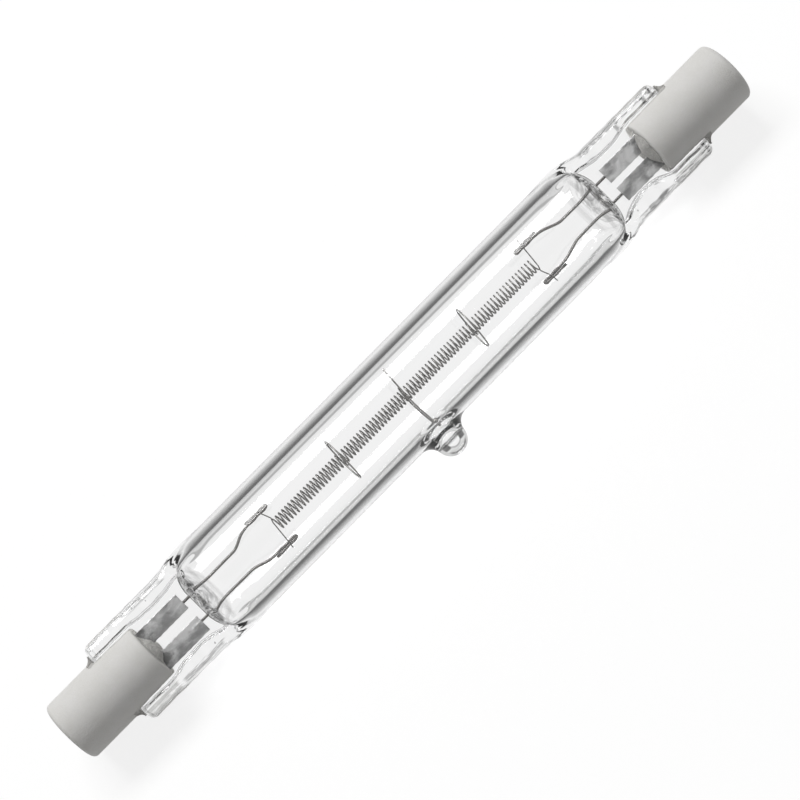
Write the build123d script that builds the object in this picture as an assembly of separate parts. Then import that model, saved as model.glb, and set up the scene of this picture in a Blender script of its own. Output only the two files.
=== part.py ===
from build123d import *
import math
import os

# Linear halogen bulb with a ceramic cap at each end, in millimetres.
# It is built along X with the flat faces of its pinch seals square to Z and its exhaust tip
# towards -Y. At the end it is turned about its axis and raised, so that it lies at rest on its
# tube and its tip, on the plane z = 0. Left is -X, right is +X, and upper rows are on +Y.

# Whole bulb
overall_length = 78.3

# Overlap of pieces that are joined, and overrun of a cut past a face
nudge = 0.01
overrun = 1.0

# Quartz tube and shoulders
tube_radius = 4.5
tube_wall = 0.9
shoulder_length = 3.1
bore_end_wall = 0.7
bore_end_radius = 2.2
shoulder_swell = 0.13
slab_root = 1.5  # how far the flattened slab reaches back into the tube
slab_root_inset = 0.12
slab_swell_place = 0.9  # past the end of the tube's straight part
slab_neck_place = 1.4  # past the shoulder

# Pinch seals: a thin web between two thick rims
pinch_length = 9.55
left_pinch_width = 8.4
right_pinch_width = 8.1
rim_thickness = 3.2
rim_rounding = 1.1
web_thickness = 2.3
left_rim_bows = (0.3, 0.45)  # how far the upper and the lower rim bow in over the web
right_rim_bows = (0.4, 0.8)
dish_place = 1.0  # past the end of the tube's straight part
corner_radius = 0.75

# Exhaust tip
tip_place = 0.45
tip_radius = 1.44
tip_stand = 0.84  # how far the centre of its ball is outside the tube's radius
tip_fillet = 0.85
tip_channel_radius = 0.95
tip_end_wall = 1.18

# Ceramic caps
cap_radius = 2.95
cap_length = 9.65
cap_overlap = 4.15
cap_edge_radius = 0.4
cap_lip_radius = 0.2
barrel_length = 4.4  # of the plain round end, without its rounded edge
skirt_draft = 0.05
slot_clearance = 0.25
slot_extra = 0.55
chamber_radius = 1.8
chamber_wall = 0.8
recess_radius = 1.9
recess_depth = 1.7
rim_clearance = 0.1

# Contacts
contact_radius = 1.5
contact_thickness = 0.5
contact_rounding = 0.12
stem_radius = 0.56
stem_length = 1.3
contact_clearance = 0.05

# Cement
cement_ball_radius = 2.6
cement_ball_sink = 0.5
cement_stand = 0.75
cement_fillet = 0.65
cement_fillet_thickness = 1.8
cement_fillet_sink = 0.3

# Sealing foils
foil_thickness = 0.05
foil_length = 6.1
left_foil_width = 1.6
right_foil_width = 1.5
left_foil_start = 0.8
right_foil_start = 1.2
left_foil_rows = (1.13, -1.39)
right_foil_rows = (0.95, -1.13)
seal_film = 0.02  # glass left between a foil and the wire welded behind it

# Inner leads
lead_radius = 0.1
lead_weld = 1.1
left_lead_rows = (0.97, -1.2)
right_lead_rows = (0.97, -1.09)
left_fold_rows = (1.64, -1.70)
right_fold_rows = (1.64, -1.62)
left_bend_start = 4.0
left_bend_end = 2.35
right_bend_start = 4.05
right_bend_end = 2.1
bend_radius = 1.2
fold_length = 2.2
fold_past_coil = 0.3
fold_gap = 0.03

# Outer leads
outer_lead_radius = 0.25
outer_lead_weld = 1.0
outer_lead_straight = 0.3
outer_lead_tail = 0.4
outer_bend_radius = 0.3

# Filament
coil_length = 30.63
coil_centre = 0.515
coil_radius = 0.583
coil_turns = 82.5
coil_strand_radius = 0.0875
coil_segments = 8
coil_sides = 5

# Cross wires
cross_wire_radius = 0.05
cross_wire_gap = 0.01
cross_wire_bend = 0.12
cross_stand = 0.35  # how far beyond the coil's end it crosses a fold
left_cross_tails = (0.1, 0.62)  # past the upper and the lower fold
right_cross_tails = (0.84, 0.74)
cross_hook_step = 0.14
cross_hook_rise = 0.38
cross_slack = 0.08

# Filament supports
support_wire_radius = 0.075
support_clearance = 0.012
left_hoop_place = -7.2
right_hoop_place = 8.45
hoop_radius = 2.3
hoop_wraps = 1.0
hoop_spiral = 0.75
hoop_turns = 0.96
hoop_advance = 0.2
hoop_segments = 20
wire_sides = 6

# Centre support
centre_tail_reach = 2.75
centre_bead_radius = 0.19
centre_bead_shift = 0.0
centre_bead_height = 1.0
centre_leg_spread = 0.09
centre_hook_turn = 160  # degrees that the second leg goes round the filament
centre_hook_steps = 8

# Worked out from the sizes above
bore_radius = tube_radius - tube_wall
cap_start = overall_length / 2 - cap_length
pinch_end = cap_start + cap_overlap
pinch_start = pinch_end - pinch_length
tube_half = pinch_start - shoulder_length
web_half_width = cap_radius + rim_clearance
slot_end = pinch_end + slot_extra
barrel_start = overall_length / 2 - cap_edge_radius - barrel_length
slot_width = web_thickness + 2 * slot_clearance
recess_floor = overall_length / 2 - recess_depth
contact_floor = recess_floor - contact_thickness
chamber_end = contact_floor - chamber_wall
tip_reach = tube_radius + tip_stand
foil_height = lead_radius + seal_film + foil_thickness / 2
outer_lead_height = foil_height - foil_thickness / 2 - seal_film - outer_lead_radius
cross_wire_height = lead_radius + cross_wire_radius + cross_wire_gap
coil_outer_radius = coil_radius + coil_strand_radius
wrap_radius = coil_outer_radius + support_wire_radius + support_clearance
rest_turn = math.degrees(math.asin((tube_radius - tip_radius) / tip_reach))

ends = {
    "left": {
        "side": -1,
        "pinch_width": left_pinch_width,
        "rim_bows": left_rim_bows,
        "foil_width": left_foil_width,
        "foil_start": left_foil_start,
        "foil_rows": left_foil_rows,
        "lead_rows": left_lead_rows,
        "fold_rows": left_fold_rows,
        "bend_start": left_bend_start,
        "bend_end": left_bend_end,
        "hook_side": 1,
        "cross_tails": left_cross_tails,
    },
    "right": {
        "side": 1,
        "pinch_width": right_pinch_width,
        "rim_bows": right_rim_bows,
        "foil_width": right_foil_width,
        "foil_start": right_foil_start,
        "foil_rows": right_foil_rows,
        "lead_rows": right_lead_rows,
        "fold_rows": right_fold_rows,
        "bend_start": right_bend_start,
        "bend_end": right_bend_end,
        "hook_side": -1,
        "cross_tails": right_cross_tails,
    },
}
rows = {"upper": 0, "lower": 1}


def on_side(shape, side):
    """A shape made for the right end, mirrored if it is for the left one."""
    return shape if side > 0 else shape.mirror(Plane.YZ)


def along_x(radius, start, end):
    """A round bar along X from start to end."""
    return Plane(origin=(start, 0, 0), z_dir=(1, 0, 0)) * extrude(Circle(radius), end - start)


def round_ended_bar(radius, half_length, end_radius):
    """A round bar along X, as long both ways, whose two end edges are rounded."""
    bar = along_x(radius, -half_length, half_length)
    return fillet(bar.edges().filter_by(lambda e: abs(e.center().X) > half_length - 1e-3), end_radius)


def pinch_slab(width, rim_bows):
    """The flat seal of the right end: rounded rims, swollen at the shoulder, round a dished web."""
    half = width / 2
    root = tube_half - slab_root
    root_row = tube_radius - slab_root_inset
    swell = tube_half + slab_swell_place
    neck = pinch_start + slab_neck_place
    flank = Spline(
        (root, root_row),
        (swell, tube_radius + shoulder_swell),
        (neck, half),
        tangents=[(1, 0), (1, 0)],
    )
    run = Line((neck, half), (pinch_end - corner_radius, half))
    corner = RadiusArc(
        (pinch_end - corner_radius, half), (pinch_end, half - corner_radius), corner_radius
    )
    end = Line((pinch_end, half - corner_radius), (pinch_end, 0))
    middle = Line((pinch_end, 0), (root, 0))
    close = Line((root, 0), (root, root_row))
    half_face = make_face(Curve() + [flank, run, corner, end, middle, close])
    outline = half_face + half_face.mirror(Plane.XZ)
    slab = extrude(outline, rim_thickness / 2, both=True)
    long_edges = slab.edges().filter_by(
        lambda e: abs(e.center().Z) > rim_thickness / 2 - nudge and e.bounding_box().max.X > root + nudge
    )
    slab = fillet(long_edges, rim_rounding)
    dish = web_dish(rim_bows)
    return slab - dish - dish.mirror(Plane.XY)


def web_dish(rim_bows):
    """The hollow over one face of the web, with its sides bowed in between shoulder and cap."""
    start = tube_half + dish_place
    waist = (pinch_start + cap_start) / 2
    past = pinch_end + overrun
    edges = []
    for row_side, bow in zip((1, -1), rim_bows):
        row = row_side * web_half_width
        edges.append(ThreePointArc((start, row), (waist, row - row_side * bow), (cap_start, row)))
        edges.append(Line((cap_start, row), (past, row)))
    edges.append(Line((past, web_half_width), (past, -web_half_width)))
    edges.append(Line((start, web_half_width), (start, -web_half_width)))
    outline = make_face(Curve() + edges)
    return extrude(outline, rim_thickness).moved(Location((0, 0, web_thickness / 2)))


def exhaust_tip(radius, base, reach):
    """A stub towards -Y with a ball end, from base to the ball's centre at reach."""
    stub = Plane(origin=(tip_place, -base, 0), z_dir=(0, -1, 0)) * extrude(Circle(radius), reach - base)
    return stub + Sphere(radius).moved(Location((tip_place, -reach, 0)))


def envelope_outside():
    """The outer form of the blown quartz, solid right through."""
    glass = round_ended_bar(tube_radius, pinch_start, shoulder_length)
    for end in ends.values():
        glass += on_side(pinch_slab(end["pinch_width"], end["rim_bows"]), end["side"])
    glass += exhaust_tip(tip_radius, bore_radius, tip_reach)
    neck = glass.edges().filter_by(
        lambda e: abs(e.center().X - tip_place) < 2 * tip_radius and e.bounding_box().max.Y < -bore_radius
    )
    neck = neck.filter_by(lambda e: e.bounding_box().min.Y > -tube_radius - nudge)
    return fillet(neck, tip_fillet)


def bore():
    """The sealed gas space: the tube's bore and the channel of the exhaust tip."""
    channel_reach = tip_reach + tip_radius - tip_end_wall - tip_channel_radius
    space = round_ended_bar(bore_radius, pinch_start - bore_end_wall, bore_end_radius)
    return space + exhaust_tip(tip_channel_radius, 0, channel_reach)


def foil(end, row):
    """One strip of sealing foil in a pinch."""
    width = end["foil_width"]
    middle = pinch_start + end["foil_start"] + foil_length / 2
    strip = Box(foil_length, width, foil_thickness)
    return on_side(strip.moved(Location((middle, end["foil_rows"][row], foil_height))), end["side"])


def round_wire(path, radius):
    """A round wire swept along a path."""
    section = Plane(origin=path @ 0, z_dir=path % 0) * Circle(radius)
    return sweep(section, path)


def inner_lead(end, row):
    """A lead wire from its foil to the folded end that clamps the cross wire."""
    root = pinch_start + end["foil_start"] + lead_weld
    lead_row = end["lead_rows"][row]
    fold_row = end["fold_rows"][row]
    outward = 1 if fold_row > 0 else -1
    coil_end = coil_length / 2 + end["side"] * coil_centre
    bend_start = coil_end + end["bend_start"]
    bend_end = coil_end + end["bend_end"]
    tip = coil_end - fold_past_coil
    spacing = 2 * lead_radius + fold_gap
    run = FilletPolyline(
        (root, lead_row),
        (bend_start, lead_row),
        (bend_end, fold_row),
        (tip, fold_row),
        radius=bend_radius,
    )
    fold = ThreePointArc(
        (tip, fold_row),
        (tip - spacing / 2, fold_row + outward * spacing / 2),
        (tip, fold_row + outward * spacing),
    )
    back = Line(
        (tip, fold_row + outward * spacing),
        (tip + fold_length, fold_row + outward * spacing),
    )
    path = Wire(list(run.edges()) + [fold.edge(), back.edge()])
    return on_side(round_wire(path, lead_radius), end["side"])


def outer_lead(end, row):
    """A hidden lead from the outer end of a foil to the stem of the contact."""
    root = pinch_start + end["foil_start"] + foil_length - outer_lead_weld
    start_row = end["foil_rows"][row]
    stem_row = math.copysign(outer_lead_radius + contact_clearance / 2, start_row)
    stem_end = contact_floor - stem_length
    path = FilletPolyline(
        (root, start_row, outer_lead_height),
        (pinch_end + outer_lead_straight, start_row, outer_lead_height),
        (stem_end - outer_lead_tail, stem_row, outer_lead_height),
        (stem_end, stem_row, outer_lead_height),
        radius=outer_bend_radius,
    )
    return on_side(round_wire(path, outer_lead_radius), end["side"])


def strand(points, radius, sides):
    """A fine wire of flat facets along straight runs, mitred where two runs meet."""
    spots = [Vector(*p) for p in points]
    runs = [(b - a).normalized() for a, b in zip(spots, spots[1:])]
    start = Plane(origin=spots[0], z_dir=runs[0])
    turns = [2 * math.pi * k / sides for k in range(sides)]
    rings = [[start.from_local_coords((radius * math.cos(t), radius * math.sin(t), 0)) for t in turns]]
    for spot, run, following in zip(spots[1:], runs, runs[1:] + [runs[-1]]):
        mitre = (run + following).normalized()
        rings.append([c + run * ((spot - c).dot(mitre) / run.dot(mitre)) for c in rings[-1]])
    faces = [Face(Wire.make_polygon(rings[0])), Face(Wire.make_polygon(rings[-1]))]
    for low, high in zip(rings, rings[1:]):
        for k in range(sides):
            n = (k + 1) % sides
            faces.append(Face(Wire.make_polygon([low[k], low[n], high[n], high[k]])))
    return Solid(Shell(faces))


def filament():
    """The coil, from its start at the top of the left end to the bottom of the right end."""
    steps = round(coil_turns * coil_segments)
    start = coil_centre - coil_length / 2
    points = []
    for step in range(steps + 1):
        turn = 2 * math.pi * coil_turns * step / steps
        place = start + coil_length * step / steps
        points.append((place, coil_radius * math.cos(turn), -coil_radius * math.sin(turn)))
    return strand(points, coil_strand_radius, coil_sides)


def cross_wire(end):
    """The fine wire across two folds, bent to a hook on the filament's end between them."""
    coil_end = coil_length / 2 + end["side"] * coil_centre
    crossing = coil_end + cross_stand
    upper_row, lower_row = end["fold_rows"]
    hook_row = end["hook_side"] * (coil_outer_radius + cross_wire_radius + cross_wire_gap)
    points = [
        (crossing + cross_slack, upper_row + end["cross_tails"][0]),
        (crossing, upper_row),
        (coil_end + cross_hook_step, hook_row + cross_hook_rise),
        (coil_end, hook_row),
        (coil_end + cross_hook_step, hook_row - cross_hook_rise),
        (crossing, lower_row),
        (crossing + cross_slack, lower_row - end["cross_tails"][1]),
    ]
    path = FilletPolyline(*[(x, y, cross_wire_height) for x, y in points], radius=cross_wire_bend)
    return on_side(round_wire(path, cross_wire_radius), end["side"])


def circumscribed(radius, segments):
    """Corner radius of a polygon whose sides lie at the given radius."""
    return radius / math.cos(math.pi / segments)


def hoop(place):
    """A support wire: wound on the filament, spiralling out into a loop."""
    inner = circumscribed(wrap_radius, hoop_segments)
    pitch = 2 * (support_wire_radius + support_clearance)
    points = []
    total = hoop_wraps + hoop_spiral + hoop_turns
    steps = round(total * hoop_segments)
    for step in range(steps + 1):
        done = step / hoop_segments
        wound = min(done, hoop_wraps)
        share = min(max((done - hoop_wraps) / hoop_spiral, 0.0), 1.0)
        looped = max(done - hoop_wraps - hoop_spiral, 0.0)
        radius = inner + (hoop_radius - inner) * share
        x = place - pitch * hoop_wraps / 2 + pitch * wound + hoop_advance * (looped - share / 2)
        turn = 2 * math.pi * done
        points.append((x, radius * math.cos(turn), radius * math.sin(turn)))
    return strand(points, support_wire_radius, wire_sides)


def centre_support():
    """A wire past the filament, and a second leg hooked over it, joined by a bead fused on the bore."""
    orbit = bore_radius - centre_bead_radius - support_clearance
    bead = Vector(tip_place + centre_bead_shift, -math.sqrt(orbit**2 - centre_bead_height**2), centre_bead_height)
    facing = math.atan2(bead.Z, bead.Y)
    swing = math.acos(wrap_radius / orbit)
    touch = (wrap_radius * math.cos(facing - swing), wrap_radius * math.sin(facing - swing))
    rise = (centre_tail_reach - touch[0]) / (touch[0] - bead.Y)
    front = [
        (tip_place + centre_leg_spread, centre_tail_reach, touch[1] + rise * (touch[1] - bead.Z)),
        (tip_place + centre_leg_spread, *touch),
        (bead.X + centre_leg_spread, bead.Y, bead.Z),
    ]
    back = [(bead.X - centre_leg_spread, bead.Y, bead.Z)]
    step = math.radians(centre_hook_turn) / centre_hook_steps
    hook_radius = wrap_radius / math.cos(step / 2)
    for k in range(centre_hook_steps + 1):
        turn = facing + swing + k * step
        back.append((tip_place - centre_leg_spread, hook_radius * math.cos(turn), hook_radius * math.sin(turn)))
    wire = strand(front, support_wire_radius, wire_sides) + strand(back, support_wire_radius, wire_sides)
    return wire + Sphere(centre_bead_radius).moved(Location(bead))


def cap_blank():
    """The right cap before its slot and holes: a round barrel, drawn in a little towards its slotted end."""
    blank = along_x(cap_radius, barrel_start, overall_length / 2)
    skirt = Cone(
        cap_radius - skirt_draft, cap_radius, barrel_start - cap_start, align=(Align.CENTER, Align.CENTER, Align.MIN)
    )
    blank += Plane(origin=(cap_start, 0, 0), z_dir=(1, 0, 0)) * skirt
    rims = blank.edges().filter_by(GeomType.CIRCLE).sort_by(Axis.X)
    blank = fillet(rims[-1], cap_edge_radius)
    rims = blank.edges().filter_by(GeomType.CIRCLE).sort_by(Axis.X)
    return fillet(rims[0], cap_lip_radius)


def slot():
    """The gap across the right cap that takes the pinch."""
    length = slot_end - cap_start
    gap = Box(length, 4 * cap_radius, slot_width)
    return gap.moved(Location((cap_start + length / 2, 0, 0)))


def ceramic_cap(side):
    """A ceramic cap: slot, chamber for the leads, hole for the stem and recess for the contact."""
    cap = cap_blank() - slot()
    cap -= along_x(chamber_radius, slot_end - nudge, chamber_end)
    cap -= along_x(stem_radius + contact_clearance, chamber_end - nudge, contact_floor + nudge)
    cap -= along_x(contact_radius + contact_clearance, contact_floor, recess_floor + nudge)
    cap -= along_x(recess_radius, recess_floor, overall_length / 2 + overrun)
    return on_side(cap, side)


def contact(side):
    """A button contact with its stem."""
    button = along_x(contact_radius, contact_floor, recess_floor)
    face_edge = button.edges().filter_by(GeomType.CIRCLE).sort_by(Axis.X)[-1]
    button = fillet(face_edge, contact_rounding)
    return on_side(button + along_x(stem_radius, contact_floor - stem_length, contact_floor + nudge), side)


def cement(side, outside, leads):
    """Cement that fills a cap's slot round the pinch and swells out of its mouth."""
    filler = slot() & cap_blank()
    ball_place = cap_start - cement_stand + cement_ball_radius
    balls = [
        Sphere(cement_ball_radius).moved(Location((ball_place, 0, face * (web_thickness / 2 - cement_ball_sink))))
        for face in (1, -1)
    ]
    mouth = Box(
        2 * cement_stand, 4 * cap_radius, 4 * cap_radius, align=(Align.MAX, Align.CENTER, Align.CENTER)
    ).moved(Location((cap_start, 0, 0)))
    for ball in balls:
        filler += ball & mouth
    for row_side in (1, -1):
        filler += corner_fillet(row_side)
    filler = on_side(filler, side) - outside
    for lead in leads:
        filler -= lead
    return filler


def corner_fillet(row_side):
    """The concave bead of cement between the end of a rim and the cap's side."""
    reach = cap_radius + cement_fillet
    root = cap_radius - cement_fillet_sink
    toe = pinch_end + cement_fillet
    middle = cement_fillet * (1 - math.sqrt(0.5))
    arc = ThreePointArc((toe, cap_radius), (pinch_end + middle, cap_radius + middle), (pinch_end, reach))
    side = Line((pinch_end, reach), (pinch_end, root))
    floor = Line((pinch_end, root), (toe, root))
    close = Line((toe, root), (toe, cap_radius))
    wedge = extrude(make_face(Curve() + [arc, side, floor, close]), cement_fillet_thickness / 2, both=True)
    wedge -= cap_blank()
    return wedge if row_side > 0 else wedge.mirror(Plane.XZ)


def at_rest(shape):
    """Turned about the bulb's axis to lie on its tube and its tip, raised onto z = 0 and centred on y = 0."""
    tip_front = tip_reach * math.cos(math.radians(rest_turn)) + tip_radius
    return shape.rotate(Axis.X, rest_turn).moved(Location((0, (tip_front - tube_radius) / 2, tube_radius)))


parts = {}
for side_name, end in ends.items():
    for row_name, row in rows.items():
        parts[f"foil_{side_name}_{row_name}"] = foil(end, row)
        parts[f"inner_lead_{side_name}_{row_name}"] = inner_lead(end, row)
        parts[f"outer_lead_{side_name}_{row_name}"] = outer_lead(end, row)
sealed = list(parts.values())

outside = envelope_outside()
envelope = outside - bore()
for piece in sealed:
    envelope -= piece
parts["quartz_envelope"] = envelope

for side_name, end in ends.items():
    leads = [parts[f"outer_lead_{side_name}_{row_name}"] for row_name in rows]
    parts[f"ceramic_cap_{side_name}"] = ceramic_cap(end["side"])
    parts[f"contact_{side_name}"] = contact(end["side"])
    parts[f"cement_{side_name}"] = cement(end["side"], outside, leads)
    parts[f"cross_wire_{side_name}"] = cross_wire(end)

parts["filament"] = filament()
parts["filament_support_left"] = hoop(left_hoop_place)
parts["filament_support_right"] = hoop(right_hoop_place)
parts["centre_support"] = centre_support()

os.makedirs("parts", exist_ok=True)
for name, shape in parts.items():
    export_step(at_rest(shape), f"parts/{name}.step")
    print(name, round(shape.volume, 3))
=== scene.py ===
# Linear halogen bulb with recessed contacts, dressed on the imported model
import math
import bpy
import bmesh
import numpy as np
from mathutils import Matrix, Vector


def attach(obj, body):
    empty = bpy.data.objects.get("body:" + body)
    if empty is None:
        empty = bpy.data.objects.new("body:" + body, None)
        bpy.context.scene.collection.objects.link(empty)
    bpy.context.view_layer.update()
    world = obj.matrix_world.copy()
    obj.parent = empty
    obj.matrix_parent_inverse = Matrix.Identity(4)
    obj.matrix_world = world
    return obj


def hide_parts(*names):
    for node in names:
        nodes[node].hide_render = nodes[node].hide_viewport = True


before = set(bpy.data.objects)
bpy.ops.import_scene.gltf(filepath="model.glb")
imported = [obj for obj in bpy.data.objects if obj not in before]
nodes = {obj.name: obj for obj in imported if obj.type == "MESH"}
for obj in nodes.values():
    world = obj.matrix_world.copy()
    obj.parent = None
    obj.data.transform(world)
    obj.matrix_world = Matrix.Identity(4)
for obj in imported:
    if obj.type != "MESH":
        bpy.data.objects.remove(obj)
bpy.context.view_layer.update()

mm = 0.001

# How the bulb lies: it is modelled along X with its flat seals square to Z, then rolled onto its tip
lie = {
    "tubeRadius": 4.5,
    "tipRadius": 1.44,
    "tipReach": 5.34,
    "shiftY": 0.65815,
}
lie["roll"] = math.asin((lie["tubeRadius"] - lie["tipRadius"]) / lie["tipReach"])
rollMatrix = Matrix.Rotation(lie["roll"], 4, "X")
layMatrix = Matrix.Scale(mm, 4) @ Matrix.Translation((0, lie["shiftY"], lie["tubeRadius"])) @ rollMatrix
sealNormal = (rollMatrix @ Vector((0, 0, 1))).normalized()
sealAcross = (rollMatrix @ Vector((0, 1, 0))).normalized()
bulbCentre = layMatrix @ Vector((0, 0, 0))
sides = {"left": -1, "right": 1}


def deselectAll():
    for thing in bpy.context.selected_objects:
        thing.select_set(False)


def pick(obj):
    deselectAll()
    obj.select_set(True)
    bpy.context.view_layer.objects.active = obj


def editMesh(obj):
    # opens the piece in edit mode with nothing selected
    pick(obj)
    bpy.ops.object.mode_set(mode="EDIT")
    bpy.ops.mesh.select_all(action="DESELECT")
    return bmesh.from_edit_mesh(obj.data)


def leaveEdit():
    bpy.ops.object.mode_set(mode="OBJECT")


def selectFaces(obj, test):
    # selects the faces whose middle and normal pass the test
    mesh = editMesh(obj)
    for face in mesh.faces:
        face.select = bool(test(face.calc_center_median(), face.normal))
    bmesh.update_edit_mesh(obj.data)


def selectEdges(obj, test):
    mesh = editMesh(obj)
    bpy.ops.mesh.select_mode(type="EDGE")
    for edge in mesh.edges:
        edge.select = bool(test(edge.verts[0].co, edge.verts[1].co))
    bmesh.update_edit_mesh(obj.data)


def fixNormals(obj, inward=False):
    # merges the seam, then turns every face outwards, or inwards on the wall of a hollow
    editMesh(obj)
    bpy.ops.mesh.select_all(action="SELECT")
    bpy.ops.mesh.remove_doubles(threshold=1e-4)
    bpy.ops.mesh.normals_make_consistent(inside=inward)
    leaveEdit()


def nameIt(name):
    obj = bpy.context.object
    obj.name = name
    obj.data.name = name
    return obj


def placeIt(obj):
    # puts the object's own place and turn into its mesh
    pick(obj)
    bpy.ops.object.transform_apply(location=True, rotation=True, scale=True)


def applyModifier(obj, kind, **settings):
    pick(obj)
    modifier = obj.modifiers.new(kind.lower(), kind)
    for key, value in settings.items():
        setattr(modifier, key, value)
    bpy.ops.object.modifier_apply(modifier=modifier.name)


def joinAll(first, others):
    pick(first)
    for other in others:
        other.select_set(True)
    bpy.ops.object.join()


def copyOf(obj, name):
    twin = obj.copy()
    twin.data = obj.data.copy()
    twin.name = name
    twin.data.name = name
    bpy.context.scene.collection.objects.link(twin)
    return twin


def mirrorEnd(obj):
    # a piece of the right end turned into one of the left end
    obj.data.transform(Matrix.Scale(-1, 4, (1, 0, 0)))
    obj.data.flip_normals()


def layDown(obj):
    # millimetres in the bulb's own frame to metres where the CAD has it
    obj.data.transform(layMatrix)
    obj.data.update()


def smoothAll(obj):
    for face in obj.data.polygons:
        face.use_smooth = True


def dress(obj, material):
    obj.data.materials.clear()
    obj.data.materials.append(material)


def finishPiece(obj, material, slot, *replaced):
    dress(obj, material)
    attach(obj, "root")
    if replaced:
        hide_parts(*replaced)


# What several materials share: places on the bulb in millimetres, bands between two values, grain
def newGroup(name, inputs, outputs):
    group = bpy.data.node_groups.new(name, "ShaderNodeTree")
    for title, kind, value in inputs:
        socket = group.interface.new_socket(name=title, in_out="INPUT", socket_type=kind)
        if value is not None:
            socket.default_value = value
    for title, kind in outputs:
        group.interface.new_socket(name=title, in_out="OUTPUT", socket_type=kind)
    return group, group.nodes.new("NodeGroupInput"), group.nodes.new("NodeGroupOutput")


def addNode(tree, kind, settings=None, values=None, links=None):
    # one node with its settings, its fixed values and what feeds it
    node = tree.nodes.new(kind)
    for key, value in (settings or {}).items():
        setattr(node, key, value)
    for key, value in (values or {}).items():
        node.inputs[key].default_value = value
    for key, source in (links or {}).items():
        tree.links.new(source, node.inputs[key])
    return node


def calc(tree, operation, first, second=None, third=None):
    values, links = {}, {}
    for key, value in enumerate((first, second, third)):
        if value is None:
            continue
        if isinstance(value, (int, float)):
            values[key] = value
        else:
            links[key] = value
    return addNode(tree, "ShaderNodeMath", {"operation": operation}, values, links).outputs["Value"]


bulbPlace, groupIn, groupOut = newGroup(
    "bulbPlace",
    [("Object", "NodeSocketVector", None)],
    [("Place", "NodeSocketVector")] + [(letter, "NodeSocketFloat") for letter in "XYZ"],
)
moved = addNode(
    bulbPlace,
    "ShaderNodeVectorMath",
    {"operation": "SUBTRACT"},
    {1: tuple(bulbCentre)},
    {0: groupIn.outputs["Object"]},
)
turned = addNode(
    bulbPlace,
    "ShaderNodeVectorRotate",
    {"rotation_type": "X_AXIS"},
    {"Angle": -lie["roll"]},
    {"Vector": moved.outputs["Vector"]},
)
scaled = addNode(
    bulbPlace,
    "ShaderNodeVectorMath",
    {"operation": "SCALE"},
    {"Scale": 1 / mm},
    {0: turned.outputs["Vector"]},
)
split = addNode(bulbPlace, "ShaderNodeSeparateXYZ", links={"Vector": scaled.outputs["Vector"]})
bulbPlace.links.new(scaled.outputs["Vector"], groupOut.inputs["Place"])
for letter in "XYZ":
    bulbPlace.links.new(split.outputs[letter], groupOut.inputs[letter])

bandMask, groupIn, groupOut = newGroup(
    "bandMask",
    [("Value", "NodeSocketFloat", 0.0), ("Low", "NodeSocketFloat", 0.0), ("High", "NodeSocketFloat", 1.0)]
    + [("Soft", "NodeSocketFloat", 0.1)],
    [("Mask", "NodeSocketFloat")],
)
rising = addNode(
    bandMask,
    "ShaderNodeMapRange",
    {"interpolation_type": "SMOOTHSTEP"},
    links={
        "Value": groupIn.outputs["Value"],
        "From Min": calc(bandMask, "SUBTRACT", groupIn.outputs["Low"], groupIn.outputs["Soft"]),
        "From Max": groupIn.outputs["Low"],
    },
)
falling = addNode(
    bandMask,
    "ShaderNodeMapRange",
    {"interpolation_type": "SMOOTHSTEP"},
    {"To Min": 1.0, "To Max": 0.0},
    {
        "Value": groupIn.outputs["Value"],
        "From Min": groupIn.outputs["High"],
        "From Max": calc(bandMask, "ADD", groupIn.outputs["High"], groupIn.outputs["Soft"]),
    },
)
bandMask.links.new(
    calc(bandMask, "MULTIPLY", rising.outputs["Result"], falling.outputs["Result"]), groupOut.inputs["Mask"]
)

grain, groupIn, groupOut = newGroup(
    "grain",
    [("Place", "NodeSocketVector", None), ("Per mm", "NodeSocketFloat", 2.0)]
    + [("Stretch", "NodeSocketVector", (1, 1, 1))]
    + [("Low", "NodeSocketFloat", 0.35), ("High", "NodeSocketFloat", 0.65)],
    [("Mask", "NodeSocketFloat")],
)
stretched = addNode(
    grain,
    "ShaderNodeVectorMath",
    {"operation": "MULTIPLY"},
    links={0: groupIn.outputs["Place"], 1: groupIn.outputs["Stretch"]},
)
cloud = addNode(
    grain,
    "ShaderNodeTexNoise",
    values={"Detail": 4.0, "Roughness": 0.6},
    links={"Vector": stretched.outputs["Vector"], "Scale": groupIn.outputs["Per mm"]},
)
spread = addNode(
    grain,
    "ShaderNodeMapRange",
    {"interpolation_type": "SMOOTHSTEP"},
    links={
        "Value": cloud.outputs["Fac"],
        "From Min": groupIn.outputs["Low"],
        "From Max": groupIn.outputs["High"],
    },
)
grain.links.new(spread.outputs["Result"], groupOut.inputs["Mask"])


def newMaterial(name):
    # a material with its place on the bulb ready to use
    material = bpy.data.materials.new(name)
    material.use_nodes = True
    tree = material.node_tree
    where = tree.nodes.new("ShaderNodeTexCoord").outputs["Object"]
    place = addNode(tree, "ShaderNodeGroup", {"node_tree": bulbPlace}, links={"Object": where})
    return material, tree, tree.nodes["Principled BSDF"], place


def band(tree, value, low, high, soft):
    values = {"Low": low, "High": high, "Soft": soft}
    return addNode(tree, "ShaderNodeGroup", {"node_tree": bandMask}, values, {"Value": value}).outputs["Mask"]


def grainMask(tree, place, perMm, low, high, stretch=(1, 1, 1)):
    values = {"Per mm": perMm, "Stretch": stretch, "Low": low, "High": high}
    links = {"Place": place.outputs["Place"]}
    return addNode(tree, "ShaderNodeGroup", {"node_tree": grain}, values, links).outputs["Mask"]


def mixColour(tree, factor, first, second):
    node = addNode(tree, "ShaderNodeMix", {"data_type": "RGBA"})
    for key, value in ((0, factor), (6, first), (7, second)):
        if isinstance(value, tuple):
            node.inputs[key].default_value = value + (1,)
        elif isinstance(value, float):
            node.inputs[key].default_value = value
        else:
            tree.links.new(value, node.inputs[key])
    return node.outputs[2]


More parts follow.
